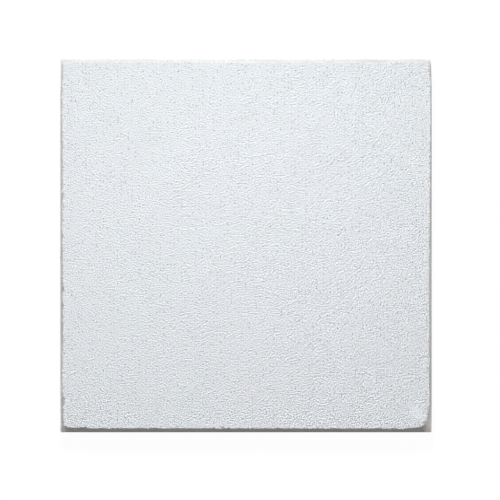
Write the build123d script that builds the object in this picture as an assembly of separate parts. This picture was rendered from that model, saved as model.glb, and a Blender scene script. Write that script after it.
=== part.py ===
from build123d import *
import os
from math import cos, floor, pi, sin

# A square relief wall tile, press-moulded in one piece, all sizes in millimetres.
# It lies on its back: +Z points out of the face and +Y up the wall.
# The origin is the middle of the back, on the plane that the back rests on.

# Foot, the upright lower half of the edge, which is the tile's widest outline
width = 150.0
length = 150.7
foot_land = 5.0
foot_corner_radius = 0.6

# Cove, a quarter ellipse in which the sides draw in from the foot to the drafted wall
cove_height = 1.2
cove_run = 0.6
cove_corner_radius = 0.8

# Face, and how far each side of it stands in from the foot
# The mould was a little out of square, so the two flanks lean more at their lower ends.
thickness = 10.0
top_inset = 1.6
bottom_inset = 1.75
left_inset_low = 1.4
left_inset_high = 0.85
right_inset_low = 1.45
right_inset_high = 0.75
face_corner_radius = 0.9
worn_corner_radius = 2.4
arris_radius = 0.2

# Keyed back: rows of shallow square pockets with ribs left between them
pocket_size = 20.0
pocket_depth = 0.8
pocket_corner_radius = 2.5
pocket_draft = 25.0
rib_width = 3.0
smallest_border = 6.0


def outline(height, bottom, top, left, right, radii):
    """Four-sided outline at a height. left and right give the insets at the low and high ends."""
    left_low, left_high = left
    right_low, right_high = right
    corners = [
        (-width / 2 + left_low, -length / 2 + bottom),
        (width / 2 - right_low, -length / 2 + bottom),
        (width / 2 - right_high, length / 2 - top),
        (-width / 2 + left_high, length / 2 - top),
    ]
    with BuildSketch(Plane.XY.offset(height)) as section:
        with BuildLine():
            FilletPolyline(*corners, radius=radii, close=True)
        make_face()
    return section.sketch


def even_outline(height, inset, radius):
    """Outline that stands in from the foot by the same inset on all four sides."""
    ends = (inset, inset)
    return outline(height, inset, inset, ends, ends, [radius] * 4)


def face_outline():
    """Outline of the face, with its lower right corner worn round."""
    left = (left_inset_low, left_inset_high)
    right = (right_inset_low, right_inset_high)
    radii = [face_corner_radius, worn_corner_radius, face_corner_radius, face_corner_radius]
    return outline(thickness, bottom_inset, top_inset, left, right, radii)


def cove_outlines():
    """Outlines up the cove, which is level at the foot and upright where the drafted wall starts."""
    outlines = []
    for share in (0.25, 0.5, 0.75, 1.0):
        turn = share * pi / 2
        height = foot_land + cove_height * (1 - cos(turn))
        radius = foot_corner_radius + sin(turn) * (cove_corner_radius - foot_corner_radius)
        outlines.append(even_outline(height, cove_run * sin(turn), radius))
    return outlines


def moulded_body():
    """The clay as it leaves the press: upright foot, cove, drafted wall and rounded face edge."""
    foot = [even_outline(0, 0, foot_corner_radius), even_outline(foot_land, 0, foot_corner_radius)]
    body = loft(foot + cove_outlines() + [face_outline()], ruled=True)
    face = body.faces().sort_by(Axis.Z)[-1]
    return fillet(face.edges(), arris_radius)


def even_count(extent):
    """How many pockets fit across the back, always even so that two ribs cross in its middle."""
    pitch = pocket_size + rib_width
    return 2 * floor((extent - 2 * smallest_border + rib_width) / (2 * pitch))


def key_pockets():
    """The drafted square pockets that the bedding mortar keys into."""
    pitch = pocket_size + rib_width
    with BuildPart() as pockets:
        with BuildSketch(Plane.XY):
            with GridLocations(pitch, pitch, even_count(width), even_count(length)):
                RectangleRounded(pocket_size, pocket_size, pocket_corner_radius)
        extrude(amount=pocket_depth, taper=pocket_draft)
    return pockets.part


def tile():
    """The whole tile, one solid."""
    solid = moulded_body() - key_pockets()
    solid.label = "tile"
    return solid


os.makedirs("parts", exist_ok=True)
export_step(tile(), "parts/tile.step")
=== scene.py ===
import math

import bmesh
import bpy
import numpy as np
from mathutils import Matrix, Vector


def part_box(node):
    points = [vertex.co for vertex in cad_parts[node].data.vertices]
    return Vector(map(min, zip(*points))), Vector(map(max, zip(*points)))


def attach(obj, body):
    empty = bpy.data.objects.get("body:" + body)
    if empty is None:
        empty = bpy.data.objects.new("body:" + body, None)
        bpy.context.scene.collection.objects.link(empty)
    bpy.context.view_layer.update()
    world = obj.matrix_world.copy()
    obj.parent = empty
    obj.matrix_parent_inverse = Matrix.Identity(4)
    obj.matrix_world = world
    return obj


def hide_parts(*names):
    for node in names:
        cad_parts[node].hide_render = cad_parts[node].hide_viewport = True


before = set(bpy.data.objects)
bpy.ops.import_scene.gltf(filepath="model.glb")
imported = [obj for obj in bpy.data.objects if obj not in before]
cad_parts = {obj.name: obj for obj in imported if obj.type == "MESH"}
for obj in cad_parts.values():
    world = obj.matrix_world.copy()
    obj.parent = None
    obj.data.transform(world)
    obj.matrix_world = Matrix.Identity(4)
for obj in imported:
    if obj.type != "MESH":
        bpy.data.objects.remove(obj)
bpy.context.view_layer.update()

# The relief wall tile
# One piece of pressed and fired clay. The steel frame of the press left the upright foot, the die
# left the cove, the drafted wall and the pebbled face, and a matt white coat was sprayed on the face.
MM = 0.001
tile_low, tile_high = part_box("tile")
WIDTH = tile_high.x - tile_low.x
LENGTH = tile_high.y - tile_low.y
THICKNESS = tile_high.z
FOOT_LAND = 5.0 * MM
FOOT_CORNER_RADIUS = 0.6 * MM
COVE_HEIGHT = 1.2 * MM
COVE_RUN = 0.6 * MM
COVE_CORNER_RADIUS = 0.8 * MM
TOP_INSET = 1.6 * MM
BOTTOM_INSET = 1.75 * MM
LEFT_INSET_LOW = 1.4 * MM
LEFT_INSET_HIGH = 0.85 * MM
RIGHT_INSET_LOW = 1.45 * MM
RIGHT_INSET_HIGH = 0.75 * MM
FACE_CORNER_RADIUS = 0.9 * MM
WORN_CORNER_RADIUS = 2.4 * MM
ARRIS_RADIUS = 0.2 * MM
SHARPEST_CORNER = 0.2 * MM

# The face carries the relief on a square grid of this many cells a side
CELLS = 278
cell = (WIDTH - 3 * MM) / CELLS
steps = np.linspace(-1, 1, CELLS + 1)
rng = np.random.default_rng(20)


def reading(pairs, place):
    """Value at a place in millimetres, drawn straight between (place, value) pairs."""
    places, values = np.array(pairs).T
    return np.interp(place, places, values)


# The face edges waver in fine and in long waves of about these periods
FINE_WAVE = 1.6 * MM
LONG_WAVE = 7 * MM
LONG_WAVE_SHARE = 0.7
WAVE_SPREAD = 0.6


def waves_along(period, height, seed):
    """Smooth random unevenness along one side of the face, with this period and height."""
    source = np.random.default_rng(seed).standard_normal(CELLS + 1)
    pace = np.fft.rfftfreq(CELLS + 1, cell)
    share = np.exp(-(np.log(np.maximum(pace, 1e-9) * period) / WAVE_SPREAD) ** 2)
    share[0] = 0
    values = np.fft.irfft(np.fft.rfft(source) * share, CELLS + 1)
    return height * values / values.std()


def worn_side(rough, seed, losses):
    """How much further in one side of the face has worn: losses at places, and an uneven edge."""
    lost = MM * reading(losses, steps * WIDTH / 2 / MM)
    fine = waves_along(FINE_WAVE, rough * MM, seed)
    long = waves_along(LONG_WAVE, LONG_WAVE_SHARE * rough * MM, seed + 1)
    return lost + fine + long


# Wear of the four face edges in millimetres, from the left end or the lower end of each side.
# It reaches this far down the wall, and fades out over this much of that.
WEAR_REACH = 2.5 * MM
WEAR_FADE = 1.5 * MM
worn_bottom = worn_side(0.10, 31, [
    (-74.5, 0.8), (-73, 0.5), (-71.5, 0.35), (-69.5, 0.3), (-66, 0.42), (-64, 0.06), (20, -0.01),
    (60, -0.06), (64, -0.3), (66, -0.25), (68.5, 0.3), (71, 0.5), (73, 0.75), (75, 1.0)])
worn_top = worn_side(0.04, 41, [(-75, 0.0), (75, 0.0)])
worn_left = worn_side(0.13, 51, [
    (-75, 0.2), (-72, 0.1), (-70, 0.1), (-67.5, 0.1), (-66.5, 0.6), (-63, 0.6), (-60.8, -0.2),
    (-46, -0.15), (-43, 0.15), (0, 0.05), (16, 0.08), (20, 0.2), (42, 0.22), (46, 0.1), (66, 0.14),
    (69, 0.48), (75, 0.35)])
worn_right = worn_side(0.09, 61, [
    (-75, 0.9), (-71, 0.65), (-68, 0.0), (-66, -0.3), (-62, -0.2), (-10, 0.1), (20, -0.05),
    (45, -0.15), (66, -0.2), (69, 0.1), (75, 0.3)])

# The foot and the cove are rubbed in at the upper end of both flanks. That starts at this share of
# the way from the middle up to the top side.
RUBBED_FROM = 0.85
RUBBED_LEFT = 0.15 * MM
RUBBED_RIGHT = 0.285 * MM


def level(u, v, height, extra=0.0):
    """Points of the square (u, v) from -1 to 1, placed inside the outline at a height, in by extra."""
    if height <= FOOT_LAND:
        cove = 0.0
    else:
        rise = min((height - FOOT_LAND) / COVE_HEIGHT, 1.0)
        cove = math.sin(math.acos(1 - rise))
    wall_foot = FOOT_LAND + COVE_HEIGHT
    lean = min(max((height - wall_foot) / (THICKNESS - wall_foot), 0), 1)
    wear = min(max((height - (THICKNESS - WEAR_REACH)) / WEAR_FADE, 0), 1)

    def inset(full, profile, along):
        worn = wear * np.interp(along, steps, profile)
        return COVE_RUN * cove + lean * (full - COVE_RUN) + worn + extra

    share = (v + 1) / 2
    rubbed = (1 - lean) * np.interp(v, (RUBBED_FROM, 1.0), (0.0, 1.0))
    y_low = -LENGTH / 2 + inset(BOTTOM_INSET, worn_bottom, u)
    y_high = LENGTH / 2 - inset(TOP_INSET, worn_top, u)
    left = LEFT_INSET_LOW + share * (LEFT_INSET_HIGH - LEFT_INSET_LOW)
    right = RIGHT_INSET_LOW + share * (RIGHT_INSET_HIGH - RIGHT_INSET_LOW)
    x_low = -WIDTH / 2 + inset(left, worn_left, v) + RUBBED_LEFT * rubbed
    x_high = WIDTH / 2 - inset(right, worn_right, v) - RUBBED_RIGHT * rubbed
    x = x_low + (u + 1) / 2 * (x_high - x_low)
    y = y_low + share * (y_high - y_low)
    for side_x, side_y in ((-1, -1), (1, -1), (1, 1), (-1, 1)):
        at_face = WORN_CORNER_RADIUS if (side_x, side_y) == (1, -1) else FACE_CORNER_RADIUS
        radius = FOOT_CORNER_RADIUS + min(cove, 1) * (COVE_CORNER_RADIUS - FOOT_CORNER_RADIUS)
        radius = max(radius + lean * (at_face - COVE_CORNER_RADIUS) - extra, SHARPEST_CORNER)
        past_x = radius - ((x - x_low) if side_x < 0 else (x_high - x))
        past_y = radius - ((y - y_low) if side_y < 0 else (y_high - y))
        in_corner = (past_x > 0) & (past_y > 0)
        reach = np.maximum(np.hypot(past_x, past_y), 1e-12)
        pull = np.where(in_corner, 1 - np.maximum(past_x, past_y) / reach, 0)
        x = x - side_x * past_x * pull
        y = y - side_y * past_y * pull
    return x, y


# Relief: a random field of pebbles, with pits that are sharper than the pebbles. The plaster model
# for the die was stroked by hand, so the grain runs a little along wide arcs, most at their ends.
GRAIN = 1.25 * MM
GRAIN_SPREAD = 0.31
RELIEF_HEIGHT = 0.0168 * MM
PIT_SHARPNESS = 0.35
ARC_MIDDLE = -18 * MM
ARC_RADIUS = 125 * MM
STROKE_IN_MIDDLE = 0.15
STROKE_GAIN = 1.5
frequency = np.fft.fftfreq(CELLS + 1, cell)
fx, fy = np.meshgrid(frequency, frequency, indexing="ij")
band = np.exp(-(np.log(np.maximum(np.hypot(fx, fy), 1e-9) * GRAIN) / GRAIN_SPREAD) ** 2)
band[0, 0] = 0
spectrum = np.fft.fft2(rng.standard_normal((CELLS + 1, CELLS + 1))) * band
scale = 1 / np.real(np.fft.ifft2(spectrum)).std()
from_middle = (steps * WIDTH / 2 - ARC_MIDDLE)[:, None]
across_arc = math.pi / 2 + from_middle / ARC_RADIUS
stroke = STROKE_IN_MIDDLE + STROKE_GAIN * np.abs(from_middle)
turn_of_wave = 2 * np.arctan2(fy, fx)


def stroked(field):
    """The field with its waves made stronger across the arcs and weaker along them."""
    plain = np.real(np.fft.ifft2(field))
    level_waves = np.real(np.fft.ifft2(field * np.cos(turn_of_wave)))
    sloping_waves = np.real(np.fft.ifft2(field * np.sin(turn_of_wave)))
    pull = np.cos(2 * across_arc) * level_waves + np.sin(2 * across_arc) * sloping_waves
    return scale * (plain + stroke * pull)


pebbles = stroked(spectrum)
slope_x = stroked(spectrum * 2j * np.pi * fx)
slope_y = stroked(spectrum * 2j * np.pi * fy)
shaping = 1 + PIT_SHARPNESS * np.maximum(-pebbles, 0)
relief = pebbles - PIT_SHARPNESS / 2 * np.maximum(-pebbles, 0) ** 2

# Face grid, which is the top of the mesh
grid_u, grid_v = np.meshgrid(steps, steps, indexing="ij")
face_x, face_y = level(grid_u, grid_v, THICKNESS, ARRIS_RADIUS)
face_index = np.arange((CELLS + 1) ** 2).reshape(CELLS + 1, CELLS + 1)


def patch(x, y, turn, long, wide):
    """Soft oval mask on the face, in millimetres and degrees."""
    angle = math.radians(turn)
    dx = face_x / MM - x
    dy = face_y / MM - y
    along = (dx * math.cos(angle) + dy * math.sin(angle)) / long
    beside = (dy * math.cos(angle) - dx * math.sin(angle)) / wide
    return np.exp(-(along ** 2 + beside ** 2) ** 1.5)


# The wet coat was touched at the lower right: a smear that lies flat, and light and dark spots
smear = patch(68.3, -67.2, -33, 4.0, 2.3)
touch = smear + 1.3 * patch(68.8, -68.8, 0, 0.6, 0.4) - 2.5 * patch(64.8, -65.9, 10, 0.9, 0.35)
touch += 0.8 * patch(50.2, -54.1, 0, 1.5, 1.3) - 3.0 * patch(50.2, -54.3, 0, 0.55, 0.45)

# The die is cut deepest to the right of the middle and towards the bottom, and shallow near both
# flanks. The coat's colour is a little lighter where the cut is deep and towards the right.
DEEPER_RIGHT = 0.12
LESS_SO_HIGH_UP = 0.06
DEEPER_BELOW = 0.17
SMEARED_FLAT = 0.6
GRAIN_STRENGTH = 0.955
COAT_BODY = 1.003
LIGHTER_TO_RIGHT = 0.016
LIGHTER_WHERE_DEEP = 0.25
depth_of_cut = reading(
    [(-73, 0.86), (-60, 0.90), (-48, 0.94), (-30, 0.98), (0, 1.02), (20, 1.06), (33, 1.15),
     (42, 1.16), (54, 1.05), (68, 0.90)], face_x / MM)
across_face = DEEPER_RIGHT * grid_u - LESS_SO_HIGH_UP * grid_u * grid_v
gain = RELIEF_HEIGHT * (1.0 - DEEPER_BELOW * grid_v + across_face) * depth_of_cut
gain = gain * (1 - SMEARED_FLAT * smear)
relief_depth = (relief.max() - relief) * gain
face_z = THICKNESS - relief_depth
grain_strength = (GRAIN_STRENGTH + across_face) * depth_of_cut
coat_body = (COAT_BODY + LIGHTER_TO_RIGHT * grid_u) * (1 + LIGHTER_WHERE_DEEP * (depth_of_cut - 1))

# Walk round the edge of the grid, starting at the lower left corner
rim = np.concatenate([
    face_index[:-1, 0], face_index[-1, :-1], face_index[:0:-1, -1], face_index[0, :0:-1]])
rim_u = grid_u.ravel()[rim]
rim_v = grid_v.ravel()[rim]
rim_relief = relief_depth.ravel()[rim]
on_top = rim_v == 1
on_bottom = rim_v == -1

# Rings of points down the sides: rounded edge, lip of the coat, wall, cove and upright foot.
# Each has a height, how far it is drawn in, how much of the relief it keeps, and how many
# millimetres it lies inside the edge of the coat.
COAT_LIP = 0.2 * MM
LIP_OVERHANG = 0.10 * MM
FOOT_BEVEL_RISE = 0.25 * MM
FOOT_BEVEL_RUN = 0.2 * MM
ON_FACE = 0.7
BARE = -1.0
profile = []
for turn in (60.0, 30.0, 0.0):
    angle = math.radians(turn)
    drop = ARRIS_RADIUS * (1 - math.sin(angle))
    profile.append((THICKNESS - drop, ARRIS_RADIUS * (1 - math.cos(angle)), 1.0, 0.6 - drop / MM))
lip = THICKNESS - ARRIS_RADIUS - COAT_LIP
profile.append((lip, 0.0, 1.0, 0.03))
profile.append((lip - 0.06 * MM, LIP_OVERHANG, 1.0, -0.15))
profile.append((lip - 0.5 * MM, 0.06 * MM, 0.7, -0.6))
profile.append((FOOT_LAND + COVE_HEIGHT, 0.0, 0.0, BARE))
for turn in (60, 38, 18, 0):
    height = FOOT_LAND + COVE_HEIGHT * (1 - math.cos(math.radians(turn)))
    profile.append((height, 0.0, 0.0, BARE))
profile.append((FOOT_LAND - 0.12 * MM, 0.0, 0.0, BARE))
profile.append((FOOT_BEVEL_RISE, 0.0, 0.0, BARE))
profile.append((0.0, FOOT_BEVEL_RUN, 0.0, BARE))

# What lies on the bare sides, by the place along each: spray that drifted over the top side as a
# broken coat, painted light on the lit ledges of the flanks and at the lit ends of the bottom side, and
# painted shade along the rest of the bottom side, which lies in the tile's shadow, and low on the flanks
DRIFT_ON_TOP = [(-10, -0.01), (50, -0.08)]
BELOW_DRIFT = -0.5
LIGHT_ON_TOP = 0.1
LIGHT_ON_LEFT = [
    (-75, 1.0), (-62, 0.8), (-50, 0.3), (-22, 0.0), (6, 0.2), (32, 0.35), (53, 0.5), (64, 0.9), (75, 1.0)]
LIGHT_ON_RIGHT = [
    (-75, 1.0), (-70, 1.0), (-67, 0.4), (-63, 0.0), (-22, 0.1), (32, 0.35), (53, 0.6), (62, 1.0), (75, 1.0)]
MORE_LIGHT_ON_RIGHT_LEDGE = 0.3
SHADE_ON_BOTTOM = [(-73.4, 0.0), (-72.1, 1.0), (71.8, 1.0), (73.4, 0.0)]
SHADE_LOW_ON_FLANKS = [(-62, 0.8), (-60, 0.0)]
SHADE_SHARE_ON_RIGHT = 0.5
LEDGE_TOP = FOOT_LAND + 0.3 * MM

# Below these places the walls above the ledge keep only this share of their painted light, so they look
# darker
LOW_ON_LEFT_WALL = -62 * MM
LIGHT_SHARE_LOW_LEFT = 0.1
LOW_ON_RIGHT_WALL = -66 * MM
LIGHT_SHARE_LOW_RIGHT = 0.4

points = [np.stack([face_x.ravel(), face_y.ravel(), face_z.ravel()], -1)]
margin = [np.full(face_index.size, ON_FACE)]
painted_light = [np.zeros(face_index.size)]
painted_shade = [np.zeros(face_index.size)]
for height, inward, kept, coat_margin in profile:
    x, y = level(rim_u, rim_v, height, inward)
    points.append(np.stack([x, y, height - rim_relief * kept], -1))
    on_ledge = height < LEDGE_TOP
    drift = reading(DRIFT_ON_TOP, x / MM) if height >= FOOT_LAND else BELOW_DRIFT
    margin.append(np.where(on_top, drift, coat_margin))

    low_left_wall = (y <= LOW_ON_LEFT_WALL) & (not on_ledge)
    low_right_wall = (y <= LOW_ON_RIGHT_WALL) & (not on_ledge)
    # Painted light: most on the lit ledges, less on the low walls in shade
    light_left = reading(LIGHT_ON_LEFT, y / MM) * np.where(low_left_wall, LIGHT_SHARE_LOW_LEFT, 1.0)
    light_right = reading(LIGHT_ON_RIGHT, y / MM) * np.where(low_right_wall, LIGHT_SHARE_LOW_RIGHT, 1.0)
    light_right = np.minimum(light_right + MORE_LIGHT_ON_RIGHT_LEDGE * on_ledge, 1)
    light_aside = np.where(x < 0, light_left, light_right)
    light_above = np.where(on_top, LIGHT_ON_TOP, light_aside)
    # Painted shade along the bottom side, in the tile's shadow, fading out at both ends, where painted
    # light takes its place
    shade_below = reading(SHADE_ON_BOTTOM, x / MM)
    painted_light.append(np.where(on_bottom, 1 - shade_below, light_above))

    # Painted shade low on the flanks, on the walls above the ledge
    shade_aside = reading(SHADE_LOW_ON_FLANKS, y / MM) * np.where(x < 0, 1.0, SHADE_SHARE_ON_RIGHT)
    painted_shade.append(np.where(on_bottom, shade_below, 0.0 if on_ledge else shade_aside))
points = np.concatenate(points)
margin = np.concatenate(margin)
painted_light = np.concatenate(painted_light)
painted_shade = np.concatenate(painted_shade)

# Chips knocked out of the face edge, where the clay shows with painted shade, as in a hollow:
# place and radius in millimetres. The painted shade reaches this far past each, and the normals of the
# mesh are kept this far past each. The middle of a chip lies above the face by this share of its radius.
SHADE_PAST_CHIP = 0.1
NORMALS_PAST_CHIP = 0.3
MIDDLE_ABOVE_FACE = 0.1
chips = [
    (72.6, -69.4, 0.5), (71.6, -71.3, 0.55), (72.9, -67.3, 0.45), (70.0, -72.3, 0.5), (72.7, -71.2, 0.8),
    (-73.7, 29.5, 0.45), (-73.5, 21.1, 0.5), (-73.4, 16.1, 0.5), (-73.6, 10.1, 0.45), (-73.6, 8.1, 0.4),
    (-73.7, 3.8, 0.5), (-73.3, -2.6, 0.4), (-73.4, -10.6, 0.4), (-73.6, -17.1, 0.6), (-73.6, -18.1, 0.5),
    (-73.2, -43.2, 0.5), (-73.6, -42.0, 0.4), (-73.8, -60.9, 0.6), (-64.6, -73.3, 0.5), (-73.4, 70.4, 0.4),
    (73.7, -38.7, 0.6), (73.6, 70.3, 0.5), (-9.3, -73.4, 0.7), (30.5, -73.5, 0.45), (-38.0, -73.5, 0.4),
]
chipped = np.zeros(len(points), bool)
for x, y, radius in chips:
    centre = np.array([x * MM, y * MM, THICKNESS + MIDDLE_ABOVE_FACE * radius * MM])
    away = points - centre
    distance = np.linalg.norm(away, axis=1) / MM
    margin = np.minimum(margin, distance - radius)
    inside = distance < radius
    points[inside] = centre + away[inside] / np.maximum(distance[inside], 1e-6)[:, None] * radius
    chipped |= distance < radius + NORMALS_PAST_CHIP
    # Painted shade in and just past each chip
    painted_shade = np.maximum(painted_shade, distance < radius + SHADE_PAST_CHIP)

face_quads = np.stack([
    face_index[:-1, :-1], face_index[1:, :-1], face_index[1:, 1:], face_index[:-1, 1:],
], -1).reshape(-1, 4)
ring_starts = face_index.size + len(rim) * np.arange(len(profile))
loops = [rim] + [start + np.arange(len(rim)) for start in ring_starts]
side_quads = []
for upper, lower in zip(loops[:-1], loops[1:]):
    side_quads.append(np.stack([upper, lower, np.roll(lower, -1), np.roll(upper, -1)], -1))
side_quads = np.concatenate(side_quads)

mesh = bpy.data.meshes.new("relief_wall_tile")
mesh.from_pydata(points.tolist(), [], np.concatenate([face_quads, side_quads]).tolist())

# Keyed back: shallow pockets between crossing ribs, which the bedding mortar keys into
POCKET_SIZE = 20.0 * MM
POCKET_DEPTH = 0.8 * MM
POCKET_CORNER_RADIUS = 2.5 * MM
POCKET_DRAFT = math.radians(25)
RIB_WIDTH = 3.0 * MM
POCKETS_ACROSS = 6
CORNER_STEPS = 5
work = bmesh.new()
work.from_mesh(mesh)
work.verts.ensure_lookup_table()


def edges_round(ring):
    """Edges that close a ring of vertices, in order."""
    return [work.edges.get(pair) for pair in zip(ring, ring[1:] + ring[:1])]


def pocket_ring(cx, cy, size, radius, z):
    """Vertices round one pocket at a depth."""
    ring = []
    for corner in range(4):
        middle = math.radians(45 + 90 * corner)
        mx = cx + math.copysign(size / 2 - radius, math.cos(middle))
        my = cy + math.copysign(size / 2 - radius, math.sin(middle))
        for step in range(CORNER_STEPS + 1):
            angle = math.radians(90 * (corner + step / CORNER_STEPS))
            ring.append(work.verts.new((mx + radius * math.cos(angle), my + radius * math.sin(angle), z)))
    return ring


edges = edges_round([work.verts[i] for i in loops[-1]])
draw_in = POCKET_DEPTH * math.tan(POCKET_DRAFT)
pitch = POCKET_SIZE + RIB_WIDTH
for i in range(POCKETS_ACROSS):
    for j in range(POCKETS_ACROSS):
        cx = (i - (POCKETS_ACROSS - 1) / 2) * pitch
        cy = (j - (POCKETS_ACROSS - 1) / 2) * pitch
        mouth = pocket_ring(cx, cy, POCKET_SIZE, POCKET_CORNER_RADIUS, 0.0)
        bed = pocket_ring(cx, cy, POCKET_SIZE - 2 * draw_in, POCKET_CORNER_RADIUS - draw_in, POCKET_DEPTH)
        for k in range(len(mouth)):
            n = (k + 1) % len(mouth)
            work.faces.new((mouth[k], mouth[n], bed[n], bed[k]))
        work.faces.new(bed[::-1])
        edges += edges_round(mouth)
bmesh.ops.triangle_fill(work, use_beauty=True, use_dissolve=False, edges=edges)
bmesh.ops.recalc_face_normals(work, faces=work.faces)
work.to_mesh(mesh)
work.free()

tile = bpy.data.objects.new("wall_tile", mesh)
bpy.context.scene.collection.objects.link(tile)
for polygon in mesh.polygons:
    polygon.use_smooth = True


def store(name, values, rest):
    """Keep one value a vertex for the material, with the same value on all the rest."""
    layer = mesh.attributes.new(name, "FLOAT", "POINT")
    filled = np.full(len(mesh.vertices), rest, np.float32)
    filled[: len(values)] = values
    layer.data.foreach_set("value", filled)


store("coat_margin", margin, BARE)
# Painted light and painted shade on the bare sides and in the chips
store("painted_light_on_sides", painted_light, 0.0)
store("painted_shade", painted_shade, 0.0)
store("touch", touch.ravel(), 0.0)
store("grain_strength", grain_strength.ravel(), 1.0)
store("coat_body", coat_body.ravel(), 1.0)

# The face keeps the exact slopes of the relief as its normals, which the mesh alone would blur.
# Its left and right borders and its chips keep the normals of the mesh.
normals = np.zeros((len(mesh.vertices), 3))
face_normals = np.stack([gain * shaping * -slope_x, gain * shaping * -slope_y, np.ones_like(slope_x)], -1)
face_normals /= np.linalg.norm(face_normals, axis=-1, keepdims=True)
exact = ~chipped[: face_index.size].reshape(face_index.shape)
exact[0, :] = False
exact[-1, :] = False
normals[: face_index.size][exact.ravel()] = face_normals[exact]
mesh.normals_split_custom_set_from_vertices(normals.tolist())


def node(tree, kind, inputs=None, **settings):
    """Shader node with its settings, and a plain value or another node's output in each input."""
    made = tree.nodes.new("ShaderNode" + kind)
    for key, value in settings.items():
        setattr(made, key, value)
    for key, value in (inputs or {}).items():
        if isinstance(value, bpy.types.NodeSocket):
            tree.links.new(value, made.inputs[key])
        else:
            made.inputs[key].default_value = value
    return made


def numbers(tree, operation, *terms):
    """Result of one sum on numbers."""
    return node(tree, "Math", dict(enumerate(terms)), operation=operation).outputs["Value"]


def vectors(tree, operation, first, second):
    """Result of one sum on vectors, where SCALE takes a number second."""
    key = "Scale" if operation == "SCALE" else 1
    return node(tree, "VectorMath", {0: first, key: second}, operation=operation).outputs["Vector"]


def mapped(tree, value, start, end, low=0.0, high=1.0, **settings):
    """Value carried over from the range start to end to the range low to high."""
    ends = {"Value": value, "From Min": start, "From Max": end, "To Min": low, "To Max": high}
    return node(tree, "MapRange", ends, **settings).outputs["Result"]


def mixed(tree, kind, share, first, second):
    """Colour or vector between two others, by the share of the second."""
    inputs = {"Factor": share, "A": first, "B": second}
    return node(tree, "Mix", inputs, data_type=kind).outputs["Result"]


def node_group(name, inputs, outputs):
    """Empty shader node group with these named sockets, given as (name, kind, value)."""
    group = bpy.data.node_groups.new(name, "ShaderNodeTree")
    for label, kind, value in inputs:
        socket = group.interface.new_socket(label, in_out="INPUT", socket_type=kind)
        if value is not None:
            socket.default_value = value
    for label, kind in outputs:
        group.interface.new_socket(label, in_out="OUTPUT", socket_type=kind)
    entry = group.nodes.new("NodeGroupInput")
    leave = group.nodes.new("NodeGroupOutput")
    return group, entry.outputs, leave.inputs


# Stipple: a fine rough grain. It gives painted shade in its dents and pits as a mask, and the tilt of
# the surface as a vector, which is stronger across the strokes of the arcs than along them.
stipple, given, result = node_group(
    "stipple",
    [("Vector", "NodeSocketVector", None), ("Grains per metre", "NodeSocketFloat", 2200.0),
     ("Grain step", "NodeSocketFloat", 0.16 * MM), ("Tilt", "NodeSocketFloat", 2.0),
     ("Tilt along strokes", "NodeSocketFloat", 0.1), ("Facets per metre", "NodeSocketFloat", 2600.0),
     ("Lean of facets", "NodeSocketFloat", 2.2), ("Pits per metre", "NodeSocketFloat", 700.0),
     ("Darkness of pits", "NodeSocketFloat", 1.7), ("Arc middle", "NodeSocketFloat", ARC_MIDDLE),
     ("Arc radius", "NodeSocketFloat", ARC_RADIUS)],
    [("Dent shade", "NodeSocketFloat"), ("Tilt", "NodeSocketVector")])
spot = given["Vector"]
spot_x = node(stipple, "SeparateXYZ", {"Vector": spot}).outputs["X"]
from_arc_middle = numbers(stipple, "SUBTRACT", spot_x, given["Arc middle"])
round_arc = numbers(stipple, "DIVIDE", from_arc_middle, given["Arc radius"])
cosine = numbers(stipple, "COSINE", round_arc)
sine = numbers(stipple, "SINE", round_arc)
minus_sine = numbers(stipple, "MULTIPLY", sine, -1.0)
along = node(stipple, "CombineXYZ", {"X": cosine, "Y": sine}).outputs["Vector"]
across = node(stipple, "CombineXYZ", {"X": minus_sine, "Y": cosine}).outputs["Vector"]


def grain_height(vector):
    """Height of the grain at a place of the surface."""
    inputs = {"Vector": vector, "Scale": given["Grains per metre"], "Detail": 0.0}
    return node(stipple, "TexNoise", inputs).outputs["Fac"]


def fall_and_sum(way):
    """How much the grain falls over a step each way, as a vector, and its height there, added up."""
    step = vectors(stipple, "SCALE", way, given["Grain step"])
    ahead = grain_height(vectors(stipple, "ADD", spot, step))
    behind = grain_height(vectors(stipple, "SUBTRACT", spot, step))
    fall = numbers(stipple, "SUBTRACT", behind, ahead)
    return vectors(stipple, "SCALE", way, fall), numbers(stipple, "ADD", behind, ahead)


fall_across, sum_across = fall_and_sum(across)
fall_along, sum_along = fall_and_sum(along)
weak_fall = vectors(stipple, "SCALE", fall_along, given["Tilt along strokes"])
slope = vectors(stipple, "ADD", fall_across, weak_fall)
tilted = vectors(stipple, "SCALE", slope, given["Tilt"])
facets = node(
    stipple, "TexNoise", {"Vector": spot, "Scale": given["Facets per metre"], "Detail": 0.0},
    noise_dimensions="2D").outputs["Color"]
around_level = vectors(stipple, "SUBTRACT", facets, (0.5, 0.5, 0.5))
in_plane = vectors(stipple, "MULTIPLY", around_level, (1.0, 1.0, 0.0))
leaned = vectors(stipple, "SCALE", in_plane, given["Lean of facets"])
stipple.links.new(vectors(stipple, "ADD", tilted, leaned), result["Tilt"])

# Painted shade: darker where the grain is hollow, and in scattered round pits
mean_about = numbers(stipple, "MULTIPLY", numbers(stipple, "ADD", sum_across, sum_along), 0.25)
hollow = numbers(stipple, "SUBTRACT", mean_about, grain_height(spot))
dent_shade = mapped(stipple, hollow, 0.0, 0.20, interpolation_type="SMOOTHSTEP")
pit_cells = node(
    stipple, "TexVoronoi", {"Vector": spot, "Scale": given["Pits per metre"]},
    voronoi_dimensions="2D").outputs
pit_shape = mapped(stipple, pit_cells["Distance"], 0.24, 0.05, interpolation_type="SMOOTHSTEP")
pit_draw = node(stipple, "SeparateColor", {"Color": pit_cells["Color"]}).outputs["Red"]
pit_size = numbers(stipple, "POWER", mapped(stipple, pit_draw, 0.3, 1.0), 2.0)
pit_darkness = numbers(stipple, "MULTIPLY", pit_size, given["Darkness of pits"])
pit_shade = numbers(stipple, "MULTIPLY", pit_shape, pit_darkness)
stipple.links.new(numbers(stipple, "ADD", dent_shade, pit_shade), result["Dent shade"])

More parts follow.
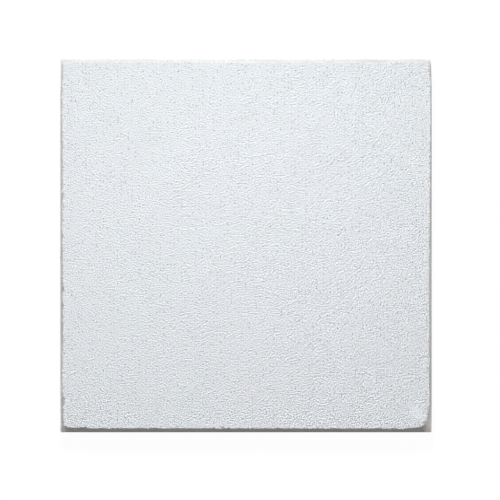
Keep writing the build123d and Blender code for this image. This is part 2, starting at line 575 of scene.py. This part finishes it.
# Fired clay: a fine sandy grain, faint clouds, dark specks and open pores
clay, given, result = node_group(
    "fired_clay",
    [("Vector", "NodeSocketVector", None), ("Colour", "NodeSocketColor", (0.68, 0.68, 0.66, 1.0)),
     ("Speck colour", "NodeSocketColor", (0.30, 0.25, 0.20, 1.0)),
     ("Cloud strength", "NodeSocketFloat", 0.10)],
    [("Colour", "NodeSocketColor"), ("Height", "NodeSocketFloat")])
spot = given["Vector"]
clouds = node(clay, "TexNoise", {"Vector": spot, "Scale": 90.0, "Detail": 4.0, "Roughness": 0.6})
cloud_tone = mapped(clay, clouds.outputs["Fac"], 0.3, 0.7, -1.0, 1.0)
cloud_part = numbers(clay, "MULTIPLY", cloud_tone, given["Cloud strength"])
sand = node(clay, "TexNoise", {"Vector": spot, "Scale": 1600.0, "Detail": 2.0, "Roughness": 0.6})
sand_tone = mapped(clay, sand.outputs["Fac"], 0.3, 0.7, 0.93, 1.05)
toned = vectors(clay, "SCALE", given["Colour"], numbers(clay, "ADD", cloud_part, sand_tone))
speck_cells = node(clay, "TexVoronoi", {"Vector": spot, "Scale": 420.0}).outputs
speck_draw = node(clay, "SeparateColor", {"Color": speck_cells["Color"]}).outputs["Green"]
speck_here = numbers(clay, "GREATER_THAN", speck_draw, 0.86)
speck_shape = mapped(clay, speck_cells["Distance"], 0.26, 0.12, interpolation_type="SMOOTHSTEP")
speck = numbers(clay, "MULTIPLY", speck_here, speck_shape)
pore = numbers(clay, "MULTIPLY", speck, 0.8)
clay.links.new(mixed(clay, "RGBA", speck, toned, given["Speck colour"]), result["Colour"])
clay.links.new(numbers(clay, "SUBTRACT", sand.outputs["Fac"], pore), result["Height"])

# The tile's one material: fired clay with the matt white coat wherever the coat's margin is positive
RAGGED_EDGE = 0.14
# Colours of the painted shade and of the painted light on the bare clay
PAINTED_SHADE_COLOUR = (0.53, 0.515, 0.485, 1)
PAINTED_LIGHT_COLOUR = (0.90, 0.90, 0.885, 1)
COAT_COLOUR_UPPER = (0.797, 0.8295, 0.857, 1)
COAT_COLOUR_LOWER = (0.8125, 0.825, 0.861, 1)
TINT_REACH = 75 * MM
body = bpy.data.materials.new("fired_clay_with_matt_white_coat")
body.use_nodes = True
tree = body.node_tree
shader = tree.nodes["Principled BSDF"]


def stored(name):
    """Value that the mesh keeps for each vertex."""
    return node(tree, "Attribute", attribute_name=name).outputs["Fac"]


place = node(tree, "TexCoord").outputs["Object"]
place_y = node(tree, "SeparateXYZ", {"Vector": place}).outputs["Y"]
ragged = node(tree, "TexNoise", {"Vector": place, "Scale": 1300.0, "Detail": 2.0}).outputs["Fac"]
shift = mapped(tree, ragged, 0.3, 0.7, -RAGGED_EDGE, RAGGED_EDGE)
reach = numbers(tree, "ADD", stored("coat_margin"), shift)
coated = mapped(tree, reach, -0.04, 0.04, interpolation_type="SMOOTHSTEP")
touched = stored("touch")
raw = node(tree, "Group", {"Vector": place}, node_tree=clay).outputs
grain = node(tree, "Group", {"Vector": place}, node_tree=stipple).outputs

# Colour: painted shade and painted light on the bare clay, and painted shade in the coat's dents and pits
shaded_clay = mixed(tree, "RGBA", stored("painted_shade"), raw["Colour"], PAINTED_SHADE_COLOUR)
shaded_and_lit_clay = mixed(tree, "RGBA", stored("painted_light_on_sides"), shaded_clay, PAINTED_LIGHT_COLOUR)
light_touch = mapped(tree, touched, 0.0, 1.0, 1.0, 1.05, clamp=False)
dent_shade_tone = mapped(tree, grain["Dent shade"], 0.0, 1.0, 1.0, 0.60, clamp=False)
touch_and_shade_tone = numbers(tree, "MULTIPLY", light_touch, dent_shade_tone)
coat_tone = numbers(tree, "MULTIPLY", touch_and_shade_tone, stored("coat_body"))
tint_clouds = node(tree, "TexNoise", {"Vector": place, "Scale": 30.0, "Detail": 3.0, "Roughness": 0.6})
tint_cloud_tone = mapped(tree, tint_clouds.outputs["Fac"], 0.38, 0.62)
lower_down = mapped(tree, place_y, TINT_REACH, -TINT_REACH, 0.1, 0.9)
tint_share = numbers(tree, "MULTIPLY", tint_cloud_tone, lower_down)
tint = mixed(tree, "RGBA", tint_share, COAT_COLOUR_UPPER, COAT_COLOUR_LOWER)
coat_colour = vectors(tree, "SCALE", tint, coat_tone)
tree.links.new(mixed(tree, "RGBA", coated, shaded_and_lit_clay, coat_colour), shader.inputs["Base Color"])
tree.links.new(mapped(tree, coated, 0.0, 1.0, 0.9, 0.72), shader.inputs["Roughness"])

# Surface: sandy bare clay, and the stippled coat, which lies calmer where it was touched
clay_bump = node(tree, "Bump", {"Height": raw["Height"], "Distance": 0.12 * MM, "Strength": 1.0})
still = mapped(tree, touched, 0.0, 1.0, 1.0, 0.45)
tilt_share = numbers(tree, "MULTIPLY", still, stored("grain_strength"))
tilt = vectors(tree, "SCALE", grain["Tilt"], tilt_share)
turned = node(
    tree, "VectorTransform", {"Vector": tilt},
    vector_type="VECTOR", convert_from="OBJECT", convert_to="WORLD").outputs["Vector"]
leaning = vectors(tree, "ADD", node(tree, "NewGeometry").outputs["Normal"], turned)
coat_normal = node(tree, "VectorMath", {0: leaning}, operation="NORMALIZE").outputs["Vector"]
normal = mixed(tree, "VECTOR", coated, clay_bump.outputs["Normal"], coat_normal)
tree.links.new(normal, shader.inputs["Normal"])
mesh.materials.append(body)

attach(tile, "root")
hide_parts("tile")

# Studio
# A white floor, one near key light feathered across the tile from beyond its top edge, and an even
# pale surround.
floor_mesh = bpy.data.meshes.new("floor")
floor_mesh.from_pydata([(-3, -3, 0), (3, -3, 0), (3, 3, 0), (-3, 3, 0)], [], [(0, 1, 2, 3)])
floor = bpy.data.objects.new("floor", floor_mesh)
bpy.context.scene.collection.objects.link(floor)


def looked_at(tree):
    """1 where the camera looks, straight or by a mirror or glass, and 0 for light on the tile."""
    path = node(tree, "LightPath").outputs
    straight = numbers(tree, "MAXIMUM", path["Is Camera Ray"], path["Is Glossy Ray"])
    return numbers(tree, "MAXIMUM", straight, path["Is Transmission Ray"])


floor_paint = bpy.data.materials.new("floor_paint")
floor_paint.use_nodes = True
tree = floor_paint.node_tree
tree.nodes.clear()
plain = node(tree, "BsdfDiffuse", {"Color": (0.65, 0.65, 0.65, 1)}).outputs[0]
thin = node(tree, "BsdfDiffuse", {"Color": (0.06, 0.06, 0.06, 1)}).outputs[0]
glow = node(tree, "Emission", {"Strength": 0.96}).outputs[0]
shown = node(tree, "AddShader", {0: thin, 1: glow}).outputs[0]
chosen = node(tree, "MixShader", {0: looked_at(tree), 1: plain, 2: shown}).outputs[0]
node(tree, "OutputMaterial", {"Surface": chosen})
floor_mesh.materials.append(floor_paint)

world = bpy.data.worlds.new("surround")
bpy.context.scene.world = world
world.use_nodes = True
tree = world.node_tree
tree.nodes.clear()
strength = mapped(tree, looked_at(tree), 0.0, 1.0, 0.15, 1.0)
surround = node(tree, "Background", {"Color": (1, 1, 1, 1), "Strength": strength}).outputs[0]
node(tree, "OutputWorld", {"Surface": surround})


def lamp(name, spot, target, size, power, spread):
    """Square soft lamp that points at a place, with its beam spread in degrees."""
    data = bpy.data.lights.new(name, "AREA")
    data.shape = "SQUARE"
    data.size = size
    data.energy = power
    data.spread = math.radians(spread)
    light = bpy.data.objects.new(name, data)
    light.location = spot
    light.rotation_euler = (Vector(target) - Vector(spot)).to_track_quat("-Z", "Y").to_euler()
    bpy.context.scene.collection.objects.link(light)


lamp("key", (-0.04, 0.31, 0.34), (0.10, -0.9, 0.05), 0.12, 1.885, 132)
lamp("left_fill", (-0.55, -0.02, 0.28), (0, 0, 0), 0.4, 0.66, 180)
lamp("right_fill", (0.55, -0.02, 0.28), (0, 0, 0), 0.4, 0.84, 180)

# Camera: straight above the tile on a long lens. The pixels are those of the photo's frame, where
# the foot of the tile is this many pixels wide and its middle lies at this place.
CAMERA_HEIGHT = 1.5
FRAME_PIXELS = 500
FOOT_WIDTH_PIXELS = 371.45
MIDDLE_PIXEL_X = 245.95
MIDDLE_PIXEL_Y = 245.67
PIXEL = WIDTH / FOOT_WIDTH_PIXELS * CAMERA_HEIGHT / (CAMERA_HEIGHT - FOOT_LAND)
camera_x = (FRAME_PIXELS / 2 - MIDDLE_PIXEL_X) * PIXEL
camera_y = -(FRAME_PIXELS / 2 - MIDDLE_PIXEL_Y) * PIXEL
camera_data = bpy.data.cameras.new("camera")
camera_data.lens = camera_data.sensor_width * CAMERA_HEIGHT / (FRAME_PIXELS * PIXEL)
camera = bpy.data.objects.new("camera", camera_data)
camera.location = (camera_x, camera_y, CAMERA_HEIGHT)
bpy.context.scene.collection.objects.link(camera)
bpy.context.scene.camera = camera
bpy.context.scene.view_settings.view_transform = "Standard"
